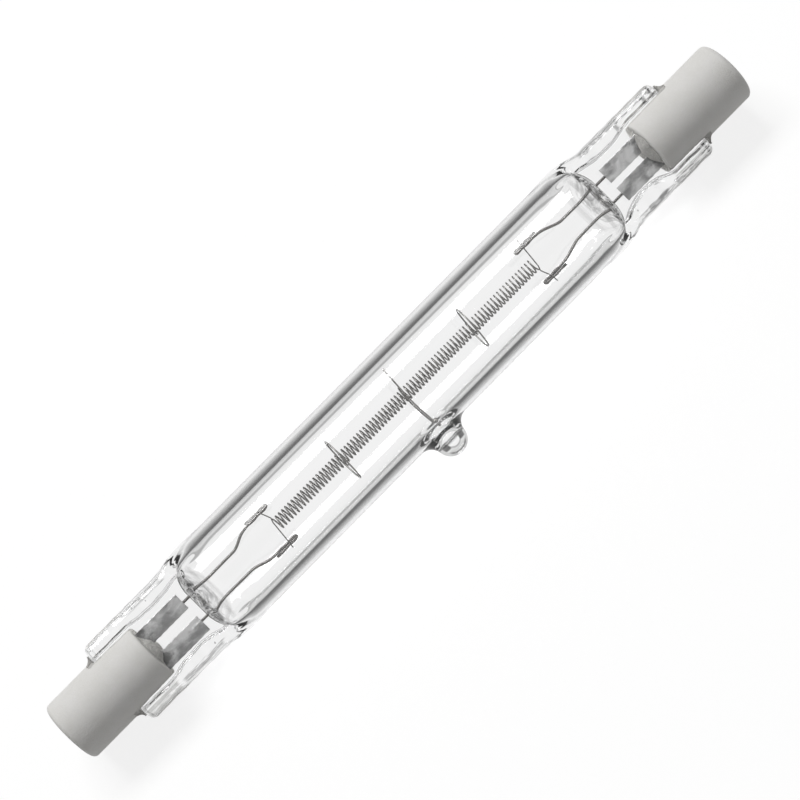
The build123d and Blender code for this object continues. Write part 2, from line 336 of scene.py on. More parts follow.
def bumpFrom(tree, shader, height, distance, strength=1.0):
    bump = addNode(
        tree, "ShaderNodeBump", values={"Distance": distance, "Strength": strength}, links={"Height": height}
    )
    tree.links.new(bump.outputs["Normal"], shader.inputs["Normal"])


print("tools ready")


# The quartz: a round tube, pinched flat at both ends and drawn off to a tip at its middle
quartz = {
    "outerRadius": lie["tubeRadius"],
    "tubeEnd": 24.1,
    "shoulder": 3.1,
    "swell": 4.63,
    "sealEnd": 33.65,
    "sealHalf": {"left": 4.2, "right": 4.05},
    "rimHalf": 1.6,
    "edgeRound": 0.34,
    "bevel": 0.34,
    "bevelDrop": 0.18,
    "stepWidth": 0.3,
    "webHalf": 1.15,
    "webReach": 2.82,
    "webBows": {"left": (0.3, 0.45), "right": (0.4, 0.8)},
    "waist": 26.8,
    "waistHalf": 2.7,
    "slabStart": 19.5,
    "swellRun": (19.5, 21.9),
    "narrowRun": (21.9, 25.6),
    "flowRun": (20.6, 24.3),
    "flowAcross": (2.9, 3.7),
    "wave": 0.05,
    "waveRun": (23.5, 26.5),
    "cornerRound": 0.75,
    "endRound": 0.8,
    "creaseSoft": 0.3,
    "around": 264,
}
bore = {
    "radius": 3.6,
    "end": 23.6,
    "lowStart": 21.3,
    "lowDrop": 2.6,
    "cornerStart": 22.65,
    "cornerDrop": 0.95,
    "dimple": 0.09,
    "uneven": 0.03,
    "unevenRun": (22.0, 23.4),
    "around": 160,
}
tip = {
    "place": 0.45,
    "radius": lie["tipRadius"],
    "reach": lie["tipReach"],
    "fillet": 1.15,
    "window": 2.85,
    "channelRadius": 1.1,
    "channelReach": 5.15,
    "channelDepth": 0.42,
    "channelFillet": 0.8,
    "channelWindow": 2.2,
    "skinRings": 7,
    "filletRings": 10,
    "ballRings": 16,
}
# places and sizes of the bubbles in the shoulders and rims
bubbles = [
    (-23.05, 2.6, 2.25, 0.3),
    (-23.2, -1.3, 2.95, 0.2),
    (-23.35, 0.8, 2.9, 0.12),
    (-25.35, -3.25, 0.9, 0.07),
    (-26.9, 3.3, 0.8, 0.05),
    (23.25, 2.1, 2.5, 0.24),
    (23.55, -0.85, 2.6, 0.16),
    (23.3, -1.75, 2.6, 0.2),
    (25.1, -3.0, 0.95, 0.06),
    (22.1, -3.75, 1.6, 0.22),
]


def eased(value, low, high):
    share = np.clip((value - low) / (high - low), 0.0, 1.0)
    return share * share * (3 - 2 * share)


def rounded(value, radius):
    # the fall of a round edge, from 1 where it starts to 0 at its end
    share = np.clip(value / radius, 0.0, 1.0)
    return np.sqrt(1 - share * share)


def waves(x, y, seed):
    # a slow unevenness, as hot glass has where it was squeezed
    a = np.sin(x * 1.9 + seed) * np.cos(y * 0.9 + seed * 2.1)
    b = np.sin(x * 3.7 - seed * 1.3 + y * 0.6)
    return 0.6 * a + 0.4 * b


def quartzSkin(xs, turns):
    # the outside of the envelope: how far across, and how high over the seal's middle plane
    x, turn = np.meshgrid(xs, turns, indexing="ij")
    run = np.abs(x)
    upper = np.cos(turn) > 0
    over = np.sin(turn) > 0
    corner = np.where(upper, 1.0, -1.0) + np.where(over, 0.5, 0.0)
    rough = eased(run, *quartz["waveRun"]) * quartz["wave"]
    half = quartz["outerRadius"]
    half = half + (quartz["swell"] - quartz["outerRadius"]) * eased(run, *quartz["swellRun"])
    sealHalf = np.where(x < 0, quartz["sealHalf"]["left"], quartz["sealHalf"]["right"])
    half = half + (sealHalf - quartz["swell"]) * eased(run, *quartz["narrowRun"])
    half = half + rough * 0.6 * waves(x, np.where(upper, 1.0, -1.0), 0.4)
    past = np.maximum(run - (quartz["sealEnd"] - quartz["cornerRound"]), 0.0)
    half = half - quartz["cornerRound"] * (1 - rounded(past, quartz["cornerRound"]))
    y = half * np.cos(turn)
    across = np.abs(y)

    fall = np.clip(run - (quartz["tubeEnd"] - quartz["shoulder"]), 0.0, quartz["shoulder"])
    barHalf = quartz["outerRadius"] - quartz["shoulder"] * (1 - rounded(fall, quartz["shoulder"]))
    barHalf = np.where(run > quartz["tubeEnd"], 0.0, barHalf)
    barWide = np.maximum(barHalf * np.maximum(half, quartz["outerRadius"]) / quartz["outerRadius"], 1e-6)
    bar = barHalf * np.sqrt(np.clip(1 - (y / barWide) ** 2, 0.0, 1.0))
    tube = quartz["outerRadius"] * np.sqrt(np.clip(1 - (y / half) ** 2, 0.0, 1.0))

    left = np.where(upper, quartz["webBows"]["left"][0], quartz["webBows"]["left"][1])
    right = np.where(upper, quartz["webBows"]["right"][0], quartz["webBows"]["right"][1])
    waist = np.clip((run - quartz["waist"]) / quartz["waistHalf"], -1.0, 1.0)
    bow = np.where(x < 0, left, right) * (1 - waist * waist)
    reach = quartz["webReach"] - bow + rough * waves(x, corner, 3.1)
    rim = quartz["rimHalf"] + rough * 1.5 * waves(x, corner * 2, 1.7)
    drop = quartz["bevelDrop"] * (1 + 4 * rough * waves(x * 1.6, corner * 3, 5.2)) / quartz["rimHalf"]
    inset = half - across
    bevelFall = drop * (1 - np.clip((inset - quartz["edgeRound"]) / quartz["bevel"], 0.0, 1.0))
    rim = rim * (1 - bevelFall) * rounded(quartz["edgeRound"] - inset, quartz["edgeRound"])
    rise = eased(across, reach, reach + quartz["stepWidth"])
    seal = quartz["webHalf"] + (rim - quartz["webHalf"]) * rise
    seal = seal * rounded(run - (quartz["sealEnd"] - quartz["endRound"]), quartz["endRound"])
    seal = np.where(run < quartz["slabStart"], 0.0, seal)

    soft = np.maximum(quartz["creaseSoft"] * np.minimum(np.minimum(bar, seal), 1.0), 1e-6)
    near = np.maximum(soft - np.abs(bar - seal), 0.0) / soft
    creased = np.maximum(bar, seal) + near * near * soft / 4
    flowing = tube + (seal - tube) * eased(run, *quartz["flowRun"])
    flank = eased(across, *quartz["flowAcross"])
    high = np.where(run < quartz["slabStart"], bar, creased + (flowing - creased) * flank)
    return y, np.where(over, high, -high)


def boreSkin(xs, turns):
    x, turn = np.meshgrid(xs, turns, indexing="ij")
    run = np.abs(x)
    low = np.maximum(run - bore["lowStart"], 0.0)
    high = bore["radius"] - bore["lowDrop"] * (1 - rounded(low, bore["end"] - bore["lowStart"]))
    side = np.maximum(run - bore["cornerStart"], 0.0)
    wide = bore["radius"] - bore["cornerDrop"] * (1 - rounded(side, bore["end"] - bore["cornerStart"]))
    uneven = bore["uneven"] * waves(x * 0.8, 3 * np.cos(turn), 2.3) * eased(run, *bore["unevenRun"])
    uneven = 1 + uneven
    return wide * np.cos(turn) * uneven, high * np.sin(turn) * uneven


def stationsBetween(start, end, step):
    count = max(1, round((end - start) / step))
    return [start + (end - start) * k / count for k in range(count)]


def mirrored(stations):
    return [-s for s in reversed(stations)]


def shellFromStations(name, stations, around, skin):
    # a grid rolled into a long closed skin round the X axis, its columns closest at the seal's rims
    deselectAll()
    bpy.ops.mesh.primitive_grid_add(x_subdivisions=len(stations) - 1, y_subdivisions=around, size=2)
    obj = nameIt(name)
    flat = np.zeros(len(obj.data.vertices) * 3)
    obj.data.vertices.foreach_get("co", flat)
    flat = flat.reshape(-1, 3)
    row = np.rint((flat[:, 0] + 1) / 2 * (len(stations) - 1)).astype(int)
    column = np.rint((flat[:, 1] + 1) / 2 * around).astype(int)
    turns = np.arange(around + 1) / around * 2 * math.pi
    turns = turns + 0.12 * np.sin(4 * turns)  # 0.12 is how much the columns crowd together
    across, high = skin(np.array(stations), turns)
    across[:, -1], high[:, -1] = across[:, 0], high[:, 0]
    placed = np.stack([np.array(stations)[row], across[row, column], high[row, column]], 1)
    obj.data.vertices.foreach_set("co", placed.ravel())
    editMesh(obj)
    bpy.ops.mesh.select_all(action="SELECT")
    bpy.ops.mesh.remove_doubles(threshold=1e-4)
    leaveEdit()
    return obj


def closeEnds(obj, rings):
    # draws each open end in to a point, in a few flat rings
    reach = max(v.co.x for v in obj.data.vertices)
    for side in (-1, 1):
        mesh = editMesh(obj)
        for edge in mesh.edges:
            edge.select = edge.is_boundary and all(v.co.x * side > reach - 0.05 for v in edge.verts)
        bmesh.update_edit_mesh(obj.data)
        for k in range(rings):
            bpy.ops.mesh.extrude_region_move()
            share = (rings - k - 1) / (rings - k) if k < rings - 1 else 0.2  # the last ring stays small
            bpy.ops.transform.resize(value=(1, share, share), center_override=(side * reach, 0, 0))
        bpy.ops.mesh.merge(type="CENTER")
        leaveEdit()


def dimpleEnds(obj):
    # the uneven end walls of the gas space, as the pinching leaves them
    flat = np.zeros(len(obj.data.vertices) * 3)
    obj.data.vertices.foreach_get("co", flat)
    flat = flat.reshape(-1, 3)
    x, y, z = flat.T
    share = eased(np.abs(x), bore["end"] - 0.5, bore["end"])
    uneven = np.sin(3.1 * y + 1.3 * x) * np.cos(2.3 * z)
    uneven = uneven + 0.7 * np.sin(6.3 * y + 2 + x) + 0.5 * np.cos(9.7 * y - 1)
    flat[:, 0] = x + bore["dimple"] * uneven * share * np.sign(x)
    obj.data.vertices.foreach_set("co", flat.ravel())


def growTip(obj, surface, radius, fillet, reach, depth, window):
    # opens a window towards -Y and draws its edge out into a round-ended stub with a filleted root
    place = tip["place"]
    far = surface + fillet
    ballEnd = depth >= radius
    mesh = editMesh(obj)
    for face in mesh.faces:
        middle = face.calc_center_median()
        lateral = math.atan2(middle.z, -middle.y) * surface
        face.select = middle.y < 0 and abs(middle.x - place) < window and abs(lateral) < window
    bmesh.update_edit_mesh(obj.data)
    bpy.ops.mesh.delete(type="FACE")
    mesh = bmesh.from_edit_mesh(obj.data)
    ring = {}
    for vertex in mesh.verts:
        if vertex.is_boundary and abs(vertex.co.x - place) < 2 * window:
            lateral = math.atan2(vertex.co.z, -vertex.co.y)
            turn = math.atan2(lateral * surface, vertex.co.x - place)
            out, beyond = radius + fillet, 0.0
            for attempt in range(8):  # the fillet's centre, nearer each time
                level = math.sqrt(far**2 - (out * math.sin(turn)) ** 2)
                beyond = max(level - reach, 0.0) if ballEnd else 0.0
                out = math.sqrt((radius + fillet) ** 2 - beyond**2)
            centre = Vector((out * math.cos(turn), -level, out * math.sin(turn)))
            ring[vertex] = (vertex.co.x - place, lateral, turn, centre, math.asin(beyond / (radius + fillet)))
    profile = [("skin", k / tip["skinRings"]) for k in range(1, tip["skinRings"] + 1)]
    profile += [("fillet", k / tip["filletRings"]) for k in range(1, tip["filletRings"] + 1)]
    profile += [("ball", k / tip["ballRings"]) for k in range(1 if ballEnd else 0, tip["ballRings"])]

    def placed(kind, share, start):
        dx, lateral, turn, centre, lowest = start
        onTube = Vector((centre.x, centre.y * surface / far, centre.z * surface / far))
        if kind == "skin":
            landing = math.atan2(onTube.z, -onTube.y)
            angle = lateral + (landing - lateral) * share
            x = dx + (onTube.x - dx) * share
            return Vector((place + x, -surface * math.cos(angle), surface * math.sin(angle)))
        if kind == "fillet":
            fromTube = (onTube - centre).normalized()
            inwards = Vector((-math.cos(turn), 0, -math.sin(turn)))
            toStub = inwards * math.cos(lowest) + Vector((0, 1, 0)) * math.sin(lowest)
            spread = fromTube.angle(toStub)
            arm = fromTube * math.sin((1 - share) * spread) + toStub * math.sin(share * spread)
            point = centre + arm / math.sin(spread) * fillet
            return Vector((place + point.x, point.y, point.z))
        rise = lowest + share * (math.pi / 2 - lowest)
        flat = radius * math.cos(rise)
        return Vector((place + flat * math.cos(turn), -reach - depth * math.sin(rise), flat * math.sin(turn)))

    edges = [e for e in mesh.edges if e.is_boundary and e.verts[0] in ring and e.verts[1] in ring]
    for kind, share in profile:
        made = bmesh.ops.extrude_edge_only(mesh, edges=edges)["geom"]
        fresh = [g for g in made if isinstance(g, bmesh.types.BMVert)]
        edges = [g for g in made if isinstance(g, bmesh.types.BMEdge) and g.is_boundary]
        following = {}
        for vertex in fresh:
            old = next(e.other_vert(vertex) for e in vertex.link_edges if e.other_vert(vertex) in ring)
            following[vertex] = ring[old]
        for vertex, start in following.items():
            vertex.co = placed(kind, share, start)
        ring = following
    bmesh.ops.pointmerge(mesh, verts=list(ring), merge_co=(place, -reach - depth, 0))
    bmesh.update_edit_mesh(obj.data)
    leaveEdit()


# stations on the +X half, close together where the form changes
endStart = quartz["sealEnd"] - quartz["endRound"]
outerHalf = stationsBetween(4.6, 18.0, 1.6) + stationsBetween(18.0, 21.0, 0.35)
outerHalf += stationsBetween(21.0, 22.6, 0.16) + stationsBetween(22.6, 24.6, 0.07)
outerHalf += stationsBetween(24.6, endStart, 0.3)
outerHalf += [endStart + quartz["endRound"] * math.sin(math.pi / 2 * k / 12) for k in range(12)]
outerHalf.append(quartz["sealEnd"] - 0.0005)
outerMiddle = stationsBetween(-4.6, -2.5, 0.7) + stationsBetween(-2.5, 3.4, 0.12)
outerMiddle += stationsBetween(3.4, 4.6, 0.6)
envelope = shellFromStations(
    "quartzEnvelope", mirrored(outerHalf) + outerMiddle + outerHalf, quartz["around"], quartzSkin
)
closeEnds(envelope, 5)
growTip(
    envelope, quartz["outerRadius"], tip["radius"], tip["fillet"], tip["reach"], tip["radius"],
    tip["window"],
)
fixNormals(envelope)

boreHalf = stationsBetween(4.6, 20.0, 1.8) + stationsBetween(20.0, bore["lowStart"], 0.22)
span = bore["end"] - bore["lowStart"]
boreHalf += [bore["lowStart"] + span * math.sin(math.pi / 2 * k / 26) for k in range(27)]
boreMiddle = stationsBetween(-4.6, -2.0, 0.65) + stationsBetween(-2.0, 2.9, 0.12)
boreMiddle += stationsBetween(2.9, 4.6, 0.6)
boreStations = mirrored(boreHalf) + boreMiddle + boreHalf
hollow = shellFromStations("gasSpace", boreStations, bore["around"], boreSkin)
closeEnds(hollow, 7)
dimpleEnds(hollow)
growTip(
    hollow, bore["radius"], tip["channelRadius"], tip["channelFillet"], tip["channelReach"],
    tip["channelDepth"], tip["channelWindow"],
)
fixNormals(hollow, inward=True)

cavities = []
for x, y, z, radius in bubbles:
    deselectAll()
    bpy.ops.mesh.primitive_uv_sphere_add(segments=20, ring_count=12, radius=radius, location=(x, y, z))
    cavity = nameIt("bubble")
    cavity.scale = (1, 1.25, 0.9)
    placeIt(cavity)
    fixNormals(cavity, inward=True)
    cavities.append(cavity)
joinAll(envelope, [hollow] + cavities)
layDown(envelope)
smoothAll(envelope)

# Clear quartz, with painted shade on it that stands in for its refraction: dark streaks in the squeezed rims,
# a painted grey reflection of the cement by the caps, dark crescents and an outline on the thick tip
clearQuartz, tree, shader, place = newMaterial("clearQuartz")
# greys painted into the glass's colour: shade, outlines and a reflection that stand in for what its
# refraction shows
glassLook = {
    "paintedStreakGrey": (0.3, 0.3, 0.3),
    "paintedCapReflection": (0.6, 0.6, 0.59),
    "paintedTipShade": (0.04, 0.04, 0.04),
    "paintedOutlineShade": (0.5, 0.5, 0.5),
    "paintedSeamShade": (0.5, 0.5, 0.5),
    "shoulder": (0.8, 0.8, 0.8),
}
spotX, spotY = place.outputs["X"], place.outputs["Y"]
run = calc(tree, "ABSOLUTE", spotX)
across = calc(tree, "ABSOLUTE", spotY)


def allOf(first, *others):
    # a mask that is full only where all of these are
    mask = first
    for other in others:
        mask = calc(tree, "MULTIPLY", mask, other)
    return mask


# painted shade: the rims have real streaks, and their darkness here is painted in, standing in for how they
# bend light
paintedStreaks = allOf(
    band(tree, across, 3.52, 3.86, 0.08),
    band(tree, run, 25.0, 29.0, 0.5),
    grainMask(tree, place, 1.0, 0.36, 0.52, (0.6, 5.0, 0.3)),
)
# painted reflection: grey patches in the lower rims next to each cap, where the cap's shadow and cement show
# in the glass
paintedCapReflection = allOf(
    band(tree, spotY, -4.1, -3.3, 0.1),
    band(tree, run, 29.9, 33.2, 0.3),
    grainMask(tree, place, 1.0, 0.3, 0.5, (0.7, 1.6, 1.0)),
)
fromTip = calc(tree, "ABSOLUTE", calc(tree, "SUBTRACT", spotX, tip["place"]))
fromBall = calc(tree, "ADD", spotY, tip["reach"])
square = calc(
    tree, "ADD", calc(tree, "MULTIPLY", fromTip, fromTip), calc(tree, "MULTIPLY", fromBall, fromBall)
)
fromMiddle = calc(tree, "DIVIDE", calc(tree, "SQRT", square), tip["radius"])
below = band(tree, spotY, -7.0, -5.4, 0.12)
# painted shade: dark crescents on the sides of the ball at the tip, where its thick glass bends in the dark
paintedTipShade = allOf(
    band(tree, fromMiddle, 0.45, 0.92, 0.06),
    band(tree, fromTip, 0.62, 2.0, 0.15),
    below,
    band(tree, spotY, -5.8, -5.35, 0.15),
)
# painted shade: a grey outline round the bottom of the ball at the tip and along the rims' outer edges
fromEdge = calc(tree, "ADD", across, calc(tree, "MULTIPLY", calc(tree, "SIGN", spotX), 0.075))
rimEdgeShade = allOf(band(tree, fromEdge, 4.05, 4.4, 0.05), band(tree, run, 25.6, 33.7, 0.6))
paintedOutlineShade = calc(tree, "MAXIMUM", allOf(band(tree, fromMiddle, 0.85, 1.2, 0.08), below), rimEdgeShade)
# painted shade: a dark uneven band across the end of the gas space, where the glass bends the light
paintedSeamShade = allOf(
    band(tree, run, 23.05, 23.75, 0.1),
    band(tree, across, -1.0, 2.45, 0.2),
    grainMask(tree, place, 1.0, 0.36, 0.6, (2.4, 1.5, 0.3)),
)
# painted shade: a faint grey line across the shoulder, where the glass bends the light
shoulder = allOf(band(tree, run, 22.25, 22.5, 0.1), band(tree, across, -1.0, 2.5, 0.25))
# the glass's colour is white, with each painted shade, outline and reflection laid over it
colour = mixColour(tree, paintedStreaks, (1.0, 1.0, 1.0), glassLook["paintedStreakGrey"])
paints = {"paintedCapReflection": paintedCapReflection, "paintedTipShade": paintedTipShade, "paintedOutlineShade": paintedOutlineShade, "paintedSeamShade": paintedSeamShade, "shoulder": shoulder}
for paintName, mask in paints.items():
    colour = mixColour(tree, mask, colour, glassLook[paintName])
tree.links.new(colour, shader.inputs["Base Color"])
shader.inputs["Roughness"].default_value = 0.0
shader.inputs["IOR"].default_value = 1.458
shader.inputs["Transmission Weight"].default_value = 1.0
lightPath = tree.nodes.new("ShaderNodeLightPath")
letThrough = addNode(tree, "ShaderNodeBsdfTransparent", values={"Color": (0.93, 0.93, 0.93, 1)})
shadowMix = addNode(
    tree,
    "ShaderNodeMixShader",
    links={0: lightPath.outputs["Is Shadow Ray"], 1: shader.outputs["BSDF"], 2: letThrough.outputs["BSDF"]},
)
tree.links.new(shadowMix.outputs["Shader"], tree.nodes["Material Output"].inputs["Surface"])
finishPiece(envelope, clearQuartz, "quartz", "quartz_envelope")
print("quartz envelope:", len(envelope.data.polygons), "faces")


# Wires: a path of a few points becomes a round wire
def wirePiece(name, points, radius, sides=4):
    deselectAll()
    bpy.ops.curve.primitive_nurbs_path_add()
    wire = nameIt(name)
    wire.data.splines.clear()
    spline = wire.data.splines.new("NURBS")
    spline.points.add(len(points) - 1)
    for spot, point in zip(spline.points, points):
        spot.co = (*point, 1)
    spline.order_u = 3
    spline.use_endpoint_u = True
    wire.data.resolution_u = 5
    wire.data.bevel_depth = radius
    wire.data.bevel_resolution = sides
    wire.data.use_fill_caps = True
    wire.location = (0, 0, 0)
    pick(wire)
    bpy.ops.object.convert(target="MESH")
    wire = bpy.context.object
    fixNormals(wire)
    return wire


def metalFinish(name, light, dark, roughness, perMm, stretch, bump):
    material, tree, shader, place = newMaterial(name)
    grains = grainMask(tree, place, perMm, 0.3, 0.7, stretch)
    tree.links.new(mixColour(tree, grains, dark, light), shader.inputs["Base Color"])
    shader.inputs["Metallic"].default_value = 1.0
    between = {"To Min": roughness + 0.08, "To Max": roughness - 0.05}
    rough = addNode(tree, "ShaderNodeMapRange", values=between, links={0: grains})
    tree.links.new(rough.outputs["Result"], shader.inputs["Roughness"])
    bumpFrom(tree, shader, grains, bump)
    return material


tungsten = metalFinish(
    "drawnTungsten", (0.3, 0.29, 0.28), (0.18, 0.175, 0.17), 0.35, 6.0, (1, 3, 3), 0.000004
)
leadMetal = metalFinish(
    "greyLeadWire", (0.2, 0.195, 0.19), (0.11, 0.105, 0.1), 0.4, 4.0, (0.6, 3, 3), 0.000004
)

# The filament: one fine coil, screwed from a small circle
coil = {
    "centre": 0.515,
    "length": 30.63,
    "turns": 82.5,
    "radius": 0.583,
    "strand": 0.069,
    "sides": 8,
    "pieces": 75,
    "stepsEach": 24,
}
coilStart = coil["centre"] - coil["length"] / 2
deselectAll()
bpy.ops.mesh.primitive_circle_add(
    vertices=coil["sides"], radius=coil["strand"], location=(coilStart, coil["radius"], 0)
)
filament = nameIt("coiledFilament")
placeIt(filament)
applyModifier(
    filament,
    "SCREW",
    axis="X",
    angle=-coil["turns"] / coil["pieces"] * 2 * math.pi,
    screw_offset=coil["length"] / coil["pieces"],
    iterations=coil["pieces"],
    steps=coil["stepsEach"],
    render_steps=coil["stepsEach"],
    use_merge_vertices=False,
)
editMesh(filament)
bpy.ops.mesh.select_all(action="SELECT")
bpy.ops.mesh.remove_doubles(threshold=1e-5)
bpy.ops.mesh.fill_holes(sides=0)
leaveEdit()
fixNormals(filament)
print("coil reach:", [round(max(v.co[k] for v in filament.data.vertices), 3) for k in range(3)])
layDown(filament)
smoothAll(filament)
finishPiece(filament, tungsten, "tungsten", "filament")

# The two wire loops round the coil, and the leg at the tip that holds its middle
support = {
    "wire": 0.068,
    "wrap": 0.745,
    "points": 60,
    "firstTurn": 0.95 * math.pi,
    "turning": 2.55 * math.pi,
    "leaves": 1.5 * math.pi,
    "leaving": 0.55 * math.pi,
    "left": {"place": -7.14, "loop": 2.2, "lean": 0.0, "open": 0.12},
    "right": {"place": 8.36, "loop": 2.08, "lean": -0.06, "open": 0.02},
}
for side in sides:
    shape = support[side]
    points = []
    for k in range(support["points"] + 1):
        turn = support["firstTurn"] + k / support["points"] * support["turning"]
        out = min(1.0, max(0.0, (turn - support["leaves"]) / support["leaving"]))
        radius = support["wrap"] + (shape["loop"] - support["wrap"]) * out
        x = shape["place"] + shape["open"] * math.sin(turn) + shape["lean"] * -math.cos(turn) * radius
        points.append((x, radius * math.cos(turn), radius * math.sin(turn)))
    loop = wirePiece("coilLoop" + side.capitalize(), points, support["wire"])
    layDown(loop)
    smoothAll(loop)
    finishPiece(loop, tungsten, "tungsten", "filament_support_" + side)

centreLeg = {
    "wire": 0.07,
    "front": [
        (0.56, 2.78, 0.95), (0.5, 1.6, 0.88), (0.4, 0.2, 0.8), (0.36, -1.2, 0.86), (0.44, -2.6, 0.98),
        (0.5, -3.2, 1.02),
    ],
    "back": [
        (0.36, -3.22, 1.0), (0.26, -2.3, 0.9), (0.22, -1.2, 0.72), (0.24, -0.75, 0.2),
        (0.28, -0.72, -0.3),
    ],
    "hook": [(0.3, -0.35, -0.72), (0.34, 0.3, -0.76), (0.38, 0.72, -0.4), (0.4, 0.8, 0.05)],
    "bead": (0.6, -3.2, 1.0),
    "beadRadius": 0.23,
}
legFront = wirePiece("centreLeg", centreLeg["front"], centreLeg["wire"])
legBack = wirePiece("centreLegBack", centreLeg["back"] + centreLeg["hook"], centreLeg["wire"])
deselectAll()
bpy.ops.mesh.primitive_ico_sphere_add(
    subdivisions=4, radius=centreLeg["beadRadius"], location=centreLeg["bead"]
)
bead = nameIt("centreBead")
placeIt(bead)
for vertex in bead.data.vertices:
    offset = vertex.co - Vector(centreLeg["bead"])
    offset.x *= 1 + 0.2 * math.sin(9 * offset.y)
    offset.y *= 0.85 + 0.8 * offset.x
    vertex.co = Vector(centreLeg["bead"]) + offset
joinAll(legFront, [legBack, bead])
layDown(legFront)
smoothAll(legFront)
finishPiece(legFront, tungsten, "tungsten", "centre_support")

# Leads: from the foil through the glass to a folded end pressed flat over the cross wire
lead = {
    "radius": 0.122,
    "press": 0.1,
    "fold": 2.25,
    "foldGap": 0.235,
    "left": {
        "foil": 26.0, "rows": (0.97, -1.2), "folds": (1.66, -1.72), "bend": (18.8, 17.15), "tip": 14.5,
    },
    "right": {
        "foil": 26.4, "rows": (0.97, -1.09), "folds": (1.66, -1.64), "bend": (19.88, 17.93), "tip": 15.53,
    },
}
for side, sign in sides.items():
    shape = lead[side]
    for rowName, row, fold in zip(("upper", "lower"), shape["rows"], shape["folds"]):
        out = 1 if row > 0 else -1
        far, near = shape["bend"]
        back = fold + out * lead["foldGap"]
        points = [(shape["foil"], row), (22.5, row), (far + 0.5, row), (far - 0.1, row)]
        points += [(near + 0.3, fold - out * 0.05), (near - 0.5, fold)]
        points += [(shape["tip"] + 0.6, fold), (shape["tip"] - 0.03, fold)]
        points += [(shape["tip"] - 0.2, fold + out * 0.115), (shape["tip"] - 0.03, back)]
        points += [(shape["tip"] + 0.6, back), (shape["tip"] + lead["fold"], back + out * 0.02)]
        wire = wirePiece("leadWire", [(sign * x, y, 0) for x, y in points], lead["radius"])
        name = "lead" + side.capitalize() + rowName.capitalize()
        wire.name = wire.data.name = name
        for vertex in wire.data.vertices:  # the folded part is pressed flat
            if abs(vertex.co.x) < near - 0.3:
                vertex.co.z = max(-lead["press"], min(lead["press"], vertex.co.z))
                middle = fold + out * lead["foldGap"] / 2
                vertex.co.y = middle + (vertex.co.y - middle) * (1 + 0.12 * math.sin(5 * vertex.co.x))
        layDown(wire)
        smoothAll(wire)
        finishPiece(wire, leadMetal, "lead_wire", "inner_lead_" + side + "_" + rowName)
for nodeName in nodes:
    if nodeName.startswith(("cross_wire", "outer_lead")):
        dress(nodes[nodeName], leadMetal)
print("wires done")

# Foils: thin strips, wrinkled, pressed over the ends of the leads
foil = {
    "length": 6.1,
    "height": 0.145,
    "thickness": 0.02,
    "ridge": 0.028,
    "ridgeWidth": 0.13,
    "ridgeEnd": (0.8, 1.25),
    "left": {"start": 24.9, "rows": (1.13, -1.39), "width": 1.6, "leads": (0.97, -1.2)},
    "right": {"start": 25.3, "rows": (0.95, -1.13), "width": 1.5, "leads": (0.97, -1.09)},
}
wrinkledFoil, tree, shader, place = newMaterial("wrinkledFoil")
patches = grainMask(tree, place, 0.55, 0.35, 0.62, (0.8, 1.4, 1.0))
fine = grainMask(tree, place, 7.0, 0.3, 0.7, (1, 1, 1))
shade = mixColour(tree, patches, (0.24, 0.24, 0.24), (0.6, 0.6, 0.6))
shade = mixColour(tree, calc(tree, "MULTIPLY", fine, 0.08), shade, (0.3, 0.3, 0.3))
run = calc(tree, "ABSOLUTE", place.outputs["X"])
# darker in patches towards the cap end
darkerByCap = grainMask(tree, place, 0.7, 0.46, 0.6, (1, 1.3, 1))
darkerByCap = calc(tree, "MULTIPLY", band(tree, run, 28.0, 31.5, 0.9), darkerByCap)
shade = mixColour(tree, calc(tree, "MULTIPLY", darkerByCap, 0.75), shade, (0.14, 0.14, 0.14))
tree.links.new(shade, shader.inputs["Base Color"])
shader.inputs["Metallic"].default_value = 0.75
shader.inputs["Roughness"].default_value = 0.38
bumpFrom(tree, shader, fine, 0.000004)
for side, sign in sides.items():
    shape = foil[side]
    for rowName, row, leadRow, seed in zip(("upper", "lower"), shape["rows"], shape["leads"], (0.6, 2.9)):
        deselectAll()
        bpy.ops.mesh.primitive_grid_add(x_subdivisions=110, y_subdivisions=32, size=1)
        strip = nameIt("foil" + side.capitalize() + rowName.capitalize())
        phase = seed + (1.3 if sign > 0 else 0.0)
        for vertex in strip.data.vertices:
            u = (vertex.co.x + 0.5) * foil["length"]
            w = vertex.co.y * shape["width"]
            high = 0.024 * math.sin(1.5 * u + 2.3 * w + phase)
            high += 0.015 * math.sin(2.7 * u - 3.7 * w + 2 * phase)
            high += 0.006 * math.sin(6.1 * u + 4.3 * w) + 0.004 * math.sin(11 * u - 7 * w + phase)
            offset = row + w - leadRow
            ease = 1 - float(eased(u, *foil["ridgeEnd"]))
            ridge = foil["ridge"] * math.exp(-((offset / foil["ridgeWidth"]) ** 2))
            high = high * (1 - 0.6 * ease) + ridge * ease
            edge = row + w + 0.012 * math.sin(9 * u + phase) * abs(vertex.co.y) * 2
            vertex.co = (sign * (shape["start"] + u), edge, foil["height"] + high)
        applyModifier(strip, "SOLIDIFY", thickness=foil["thickness"], offset=0)
        fixNormals(strip)
        layDown(strip)
        smoothAll(strip)
        finishPiece(strip, wrinkledFoil, "foil", "foil_" + side + "_" + rowName)
print("foils done")

